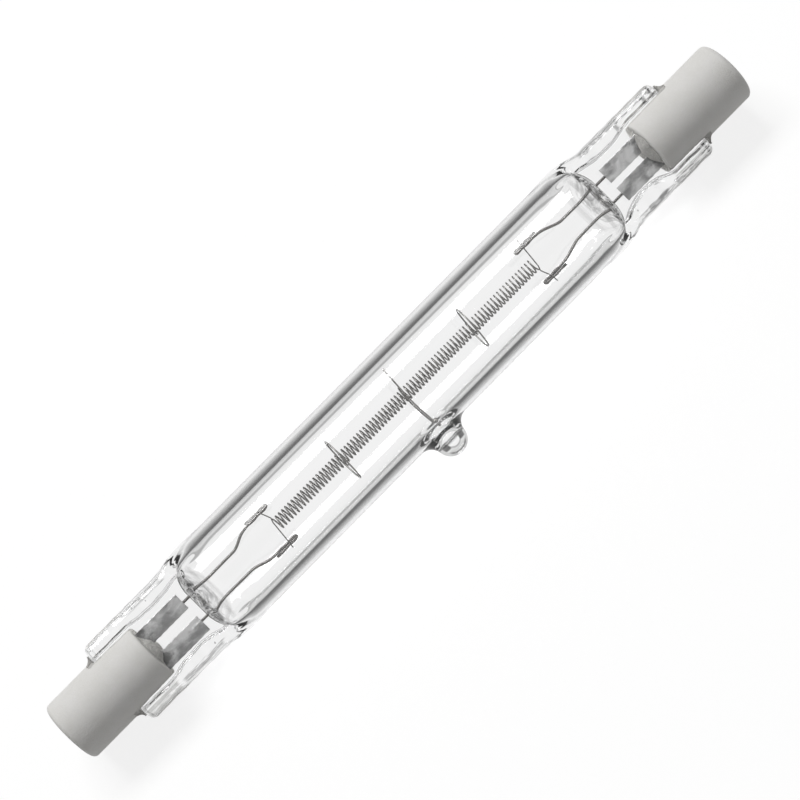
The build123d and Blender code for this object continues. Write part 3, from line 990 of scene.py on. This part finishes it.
# Caps: a ceramic barrel with rounded edges, a slot for the seal and a stepped recess
cap = {
    "radius": 2.95,
    "draft": 0.05,
    "start": 29.5,
    "end": 39.15,
    "barrel": 34.35,
    "edge": 0.4,
    "lip": 0.2,
    "recess": (1.9, 1.7),
    "pocket": (1.55, 0.5),
    "slot": (4.7, 2.8),
    "mouthEdge": 0.12,
    "slotEdge": 0.25,
}
contact = {
    "radius": 1.5,
    "face": 37.45,
    "thickness": 0.5,
    "rounding": 0.12,
    "dimple": (0.75, 0.06),
    "dimpleEdge": 0.12,
}
unglazedCeramic, tree, shader, place = newMaterial("unglazedCeramic")
clouds = grainMask(tree, place, 0.5, 0.3, 0.7)
pores = grainMask(tree, place, 9.0, 0.35, 0.62)
colour = mixColour(tree, clouds, (0.84, 0.83, 0.8), (0.88, 0.87, 0.85))
colour = mixColour(tree, calc(tree, "MULTIPLY", pores, 0.12), colour, (0.7, 0.68, 0.64))
tree.links.new(colour, shader.inputs["Base Color"])
shader.inputs["Roughness"].default_value = 0.62
bumpFrom(tree, shader, pores, 0.000012)

middle = (cap["start"] + cap["end"]) / 2
deselectAll()
bpy.ops.mesh.primitive_cylinder_add(
    vertices=128, radius=cap["radius"], depth=cap["end"] - cap["start"], location=(middle, 0, 0),
    rotation=(0, math.pi / 2, 0),
)
capRight = nameIt("ceramicCapRight")
placeIt(capRight)
editMesh(capRight)
bpy.ops.mesh.select_all(action="SELECT")
bpy.ops.mesh.bisect(plane_co=(cap["barrel"], 0, 0), plane_no=(1, 0, 0))
leaveEdit()
for vertex in capRight.data.vertices:
    if vertex.co.x < cap["start"] + 0.01:
        vertex.co.yz = vertex.co.yz * ((cap["radius"] - cap["draft"]) / cap["radius"])
selectEdges(capRight, lambda a, b: min(a.x, b.x) > cap["end"] - 0.01)
bpy.ops.mesh.bevel(offset=cap["edge"], segments=7, profile=0.5, affect="EDGES")
leaveEdit()
selectEdges(capRight, lambda a, b: max(a.x, b.x) < cap["start"] + 0.01)
bpy.ops.mesh.bevel(offset=cap["lip"], segments=5, profile=0.5, affect="EDGES")
leaveEdit()
selectFaces(capRight, lambda middle, normal: normal.x > 0.999 and middle.x > cap["end"] - 0.01)
bpy.ops.mesh.select_mode(type="FACE")
bpy.ops.mesh.inset(thickness=cap["radius"] - cap["edge"] - cap["recess"][0])
bpy.ops.mesh.extrude_region_move(TRANSFORM_OT_translate={"value": (-cap["recess"][1], 0, 0)})
bpy.ops.mesh.inset(thickness=cap["recess"][0] - cap["pocket"][0])
bpy.ops.mesh.extrude_region_move(TRANSFORM_OT_translate={"value": (-cap["pocket"][1], 0, 0)})
leaveEdit()
mouthRadius = cap["recess"][0] + 0.01
selectEdges(
    capRight,
    lambda a, b: min(a.x, b.x) > cap["end"] - 0.01 and max(a.yz.length, b.yz.length) < mouthRadius,
)
bpy.ops.mesh.bevel(offset=cap["mouthEdge"], segments=3, profile=0.5, affect="EDGES")
leaveEdit()
deselectAll()
bpy.ops.mesh.primitive_cube_add(size=1, location=(cap["start"] + (cap["slot"][0] - 1) / 2, 0, 0))
cutter = nameIt("slotCutter")
cutter.scale = (cap["slot"][0] + 1, 8, cap["slot"][1])
placeIt(cutter)
applyModifier(cutter, "BEVEL", width=cap["slotEdge"], segments=4, limit_method="ANGLE")
applyModifier(capRight, "BOOLEAN", operation="DIFFERENCE", object=cutter, solver="EXACT")
bpy.data.objects.remove(cutter)
pick(capRight)
bpy.ops.object.shade_smooth_by_angle(angle=math.radians(32))
capLeft = copyOf(capRight, "ceramicCapLeft")
mirrorEnd(capLeft)
for side, piece in (("left", capLeft), ("right", capRight)):
    layDown(piece)
    finishPiece(piece, unglazedCeramic, "ceramic", "ceramic_cap_" + side)

platedContact = metalFinish(
    "platedContact", (0.72, 0.7, 0.66), (0.55, 0.53, 0.5), 0.3, 3.0, (1, 1, 1), 0.000006
)
deselectAll()
bpy.ops.mesh.primitive_cylinder_add(
    vertices=96, radius=contact["radius"], depth=contact["thickness"],
    location=(contact["face"] - contact["thickness"] / 2, 0, 0), rotation=(0, math.pi / 2, 0),
)
contactRight = nameIt("contactRight")
placeIt(contactRight)
selectEdges(contactRight, lambda a, b: min(a.x, b.x) > contact["face"] - 0.01)
bpy.ops.mesh.bevel(offset=contact["rounding"], segments=5, profile=0.5, affect="EDGES")
leaveEdit()
selectFaces(contactRight, lambda middle, normal: normal.x > 0.999)
bpy.ops.mesh.select_mode(type="FACE")
bpy.ops.mesh.inset(thickness=contact["radius"] - contact["rounding"] - contact["dimple"][0])
bpy.ops.mesh.inset(thickness=contact["dimpleEdge"])
bpy.ops.transform.translate(value=(-contact["dimple"][1], 0, 0))
leaveEdit()
pick(contactRight)
bpy.ops.object.shade_smooth_by_angle(angle=math.radians(30))
contactLeft = copyOf(contactRight, "contactLeft")
mirrorEnd(contactLeft)
for side, piece in (("left", contactLeft), ("right", contactRight)):
    layDown(piece)
    finishPiece(piece, platedContact, "contact", "contact_" + side)
print("caps done")

# Cement: the rough filling that swells out of each slot, a copy of the solid worked over
cement = {
    "grainSize": 0.00007,
    "lump": 0.00011,
    "lumpSize": 0.00055,
    "crumb": 0.00004,
    "crumbSize": 0.0002,
    "mouth": 29.5,
    "leftSpan": 2.9,
    "leftKeep": 0.3,
    "leftEase": (0.7, 1.5),
}
roughCement, tree, shader, place = newMaterial("roughCement")
blotches = grainMask(tree, place, 0.9, 0.35, 0.65)
crumbs = grainMask(tree, place, 6.0, 0.35, 0.62)
colour = mixColour(tree, blotches, (0.6, 0.59, 0.57), (0.82, 0.81, 0.78))
colour = mixColour(tree, calc(tree, "MULTIPLY", crumbs, 0.4), colour, (0.5, 0.49, 0.46))
tree.links.new(colour, shader.inputs["Base Color"])
shader.inputs["Roughness"].default_value = 0.8
bumpFrom(tree, shader, crumbs, 0.00004)
lumps = bpy.data.textures.new("cementLumps", "CLOUDS")
lumps.noise_scale = cement["lumpSize"]
crumbTexture = bpy.data.textures.new("cementCrumbs", "CLOUDS")
crumbTexture.noise_scale = cement["crumbSize"]
toBulb = layMatrix.inverted()
for side, sign in sides.items():
    filler = copyOf(nodes["cement_" + side], "cement" + side.capitalize())
    fixNormals(filler)
    if side == "left":  # here the swelling is narrower
        for vertex in filler.data.vertices:
            spot = toBulb @ vertex.co
            out = cement["mouth"] - abs(spot.x)
            if out > 0 and abs(spot.y) < cement["leftSpan"]:
                full = 1 - float(eased(abs(spot.y), *cement["leftEase"]))
                keep = cement["leftKeep"] + (1 - cement["leftKeep"]) * full
                spot.x = sign * (cement["mouth"] - out * keep)
                vertex.co = layMatrix @ spot
    applyModifier(filler, "REMESH", mode="VOXEL", voxel_size=cement["grainSize"])
    for texture, strength, level in ((lumps, cement["lump"], 0.55), (crumbTexture, cement["crumb"], 0.5)):
        applyModifier(
            filler, "DISPLACE", texture=texture, strength=strength, mid_level=level, texture_coords="LOCAL"
        )
    smoothAll(filler)
    finishPiece(filler, roughCement, "cement", "cement_" + side)
    print("cement", side, len(filler.data.polygons), "faces")
print("pieces done")

# Studio: pale floor, soft lamps, and a world that is bright with a few darker zones beyond the glass
studio = {
    "floorSize": 4.0,
    "floorGrey": (0.5, 0.5, 0.5, 1),
    "seenGrey": (0.24, 0.24, 0.24, 1),
    "seenGlow": 0.82,
    "cameraRoll": math.radians(45.3),
    "cameraHeight": 0.188,
    "cameraFoot": -0.009,
    "aim": -0.0002,
    "lens": 101.0,
    "ambient": 0.2,
}
deselectAll()
bpy.ops.mesh.primitive_plane_add(size=studio["floorSize"])
floor = nameIt("paleFloor")
floor.visible_transmission = False
paleFloor, tree, shader, place = newMaterial("paleFloor")
shader.inputs["Base Color"].default_value = studio["floorGrey"]
shader.inputs["Roughness"].default_value = 0.9
seenShader = addNode(tree, "ShaderNodeBsdfDiffuse", values={"Color": studio["seenGrey"]})
glow = addNode(tree, "ShaderNodeEmission", values={"Strength": studio["seenGlow"]})
together = addNode(
    tree, "ShaderNodeAddShader", links={0: seenShader.outputs["BSDF"], 1: glow.outputs["Emission"]}
)
lightPath = tree.nodes.new("ShaderNodeLightPath")
seen = calc(tree, "MAXIMUM", lightPath.outputs["Is Camera Ray"], lightPath.outputs["Is Glossy Ray"])
seen = calc(tree, "MAXIMUM", seen, lightPath.outputs["Is Transmission Ray"])
floorMix = addNode(
    tree, "ShaderNodeMixShader", links={0: seen, 1: shader.outputs["BSDF"], 2: together.outputs["Shader"]}
)
tree.links.new(floorMix.outputs["Shader"], tree.nodes["Material Output"].inputs["Surface"])
dress(floor, paleFloor)

world = bpy.data.worlds.new("paleStudio")
bpy.context.scene.world = world
world.use_nodes = True
sky = world.node_tree
sky.nodes.clear()
direction = sky.nodes.new("ShaderNodeTexCoord")


def along(axis):
    # how much of a ray's direction goes along an axis
    links = {0: direction.outputs["Generated"]}
    settings = {"operation": "DOT_PRODUCT"}
    return addNode(sky, "ShaderNodeVectorMath", settings, {1: tuple(axis)}, links).outputs["Value"]


def levels(share, *stops):
    # grey levels against a turn in degrees
    ramp = sky.nodes.new("ShaderNodeValToRGB")
    elements = ramp.color_ramp.elements
    while len(elements) < len(stops):
        elements.new(0.5)
    for element, (angle, level) in zip(elements, stops):
        element.position = angle / 180
        element.color = (level, level, level, 1)
    sky.links.new(share, ramp.inputs["Fac"])
    return ramp.outputs["Color"]


def mixed(factor, first, second):
    links = {0: factor, 6: first, 7: second}
    return addNode(sky, "ShaderNodeMix", {"data_type": "RGBA"}, links=links).outputs[2]


downwards = along(-sealNormal)
sideways = calc(sky, "ABSOLUTE", along(sealAcross))
lengthways = calc(sky, "ABSOLUTE", along((1, 0, 0)))
turnShare = calc(sky, "DIVIDE", calc(sky, "ARCCOSINE", downwards), math.pi)
bendShare = calc(sky, "DIVIDE", calc(sky, "ARCTAN2", sideways, downwards), math.pi)
clearLevels = levels(
    turnShare, (0, 0.9), (16, 0.88), (17.5, 0.4), (20, 0.42), (22.5, 0.7), (35, 0.6), (38.5, 0.2),
    (46, 0.22), (50, 0.85), (180, 0.88),
)
edgeLevels = levels(
    bendShare, (0, 0.92), (16, 0.8), (23, 0.5), (30, 0.38), (38, 0.27), (46, 0.1), (56, 0.08), (66, 0.45),
    (80, 0.7), (180, 0.8),
)
openLevels = levels(bendShare, (0, 0.88), (180, 0.88))
gleamLevels = levels(
    turnShare, (0, 0.9), (110, 0.9), (140, 0.7), (156, 0.9), (165, 0.75), (173, 0.4), (180, 0.3)
)
lightPath = sky.nodes.new("ShaderNodeLightPath")
turnedBack = calc(sky, "GREATER_THAN", lightPath.outputs["Glossy Depth"], 0.5)
endOn = addNode(
    sky, "ShaderNodeMapRange", values={"From Min": 0.42, "From Max": 0.58}, links={"Value": lengthways}
).outputs["Result"]
throughGlass = addNode(
    sky,
    "ShaderNodeBackground",
    links={"Color": mixed(turnedBack, mixed(endOn, clearLevels, openLevels), edgeLevels)},
)
ambient = addNode(sky, "ShaderNodeBackground", values={"Color": (1, 1, 1, 1), "Strength": studio["ambient"]})
gleam = addNode(sky, "ShaderNodeBackground", links={"Color": gleamLevels})
white = addNode(sky, "ShaderNodeBackground", values={"Color": (1, 1, 1, 1)})
lastShader = ambient.outputs["Background"]
backgrounds = {"Is Glossy Ray": gleam, "Is Transmission Ray": throughGlass, "Is Camera Ray": white}
for ray, background in backgrounds.items():
    links = {0: lightPath.outputs[ray], 1: lastShader, 2: background.outputs["Background"]}
    lastShader = addNode(sky, "ShaderNodeMixShader", links=links).outputs["Shader"]
worldOut = sky.nodes.new("ShaderNodeOutputWorld")
sky.links.new(lastShader, worldOut.inputs["Surface"])

# long lamps parallel to the bulb, turned from the seal's normal towards the upper side
lamps = {
    "upperSoftBox": {"turn": 61.5, "distance": 0.6, "length": 0.42, "width": 0.2, "radiance": 9.0},
    "lowerSoftBox": {"turn": -46.0, "distance": 0.6, "length": 0.42, "width": 0.2, "radiance": 0.14},
}
for name, lampShape in lamps.items():
    lampData = bpy.data.lights.new(name, "AREA")
    lampData.shape = "RECTANGLE"
    lampData.size = lampShape["length"]
    lampData.size_y = lampShape["width"]
    lampData.energy = lampShape["radiance"] * math.pi * lampShape["length"] * lampShape["width"]
    lamp = bpy.data.objects.new(name, lampData)
    bpy.context.scene.collection.objects.link(lamp)
    turn = math.radians(lampShape["turn"])
    back = (sealNormal * math.cos(turn) + sealAcross * math.sin(turn)).normalized()
    right = Vector((1, 0, 0))
    lamp.location = bulbCentre + back * lampShape["distance"]
    lamp.rotation_euler = Matrix((right, back.cross(right), back)).transposed().to_euler()

cameraData = bpy.data.cameras.new("camera")
camera = bpy.data.objects.new("camera", cameraData)
bpy.context.scene.collection.objects.link(camera)
bpy.context.scene.camera = camera
cameraData.lens = studio["lens"]
cameraData.sensor_width = 36
cameraData.clip_start = 0.01
spot = bulbCentre + sealNormal * studio["cameraHeight"] + Vector((studio["cameraFoot"], 0, 0))
target = bulbCentre + Vector((studio["aim"], 0, 0))
back = (spot - target).normalized()
axisOnView = Vector((1, 0, 0))
axisOnView = (axisOnView - back * axisOnView.dot(back)).normalized()
acrossOnView = back.cross(axisOnView)
roll = studio["cameraRoll"]
right = axisOnView * math.cos(roll) - acrossOnView * math.sin(roll)
up = axisOnView * math.sin(roll) + acrossOnView * math.cos(roll)
camera.location = spot
camera.rotation_euler = Matrix((right, up, back)).transposed().to_euler()
bpy.context.scene.view_settings.view_transform = "Standard"

print("studio done")
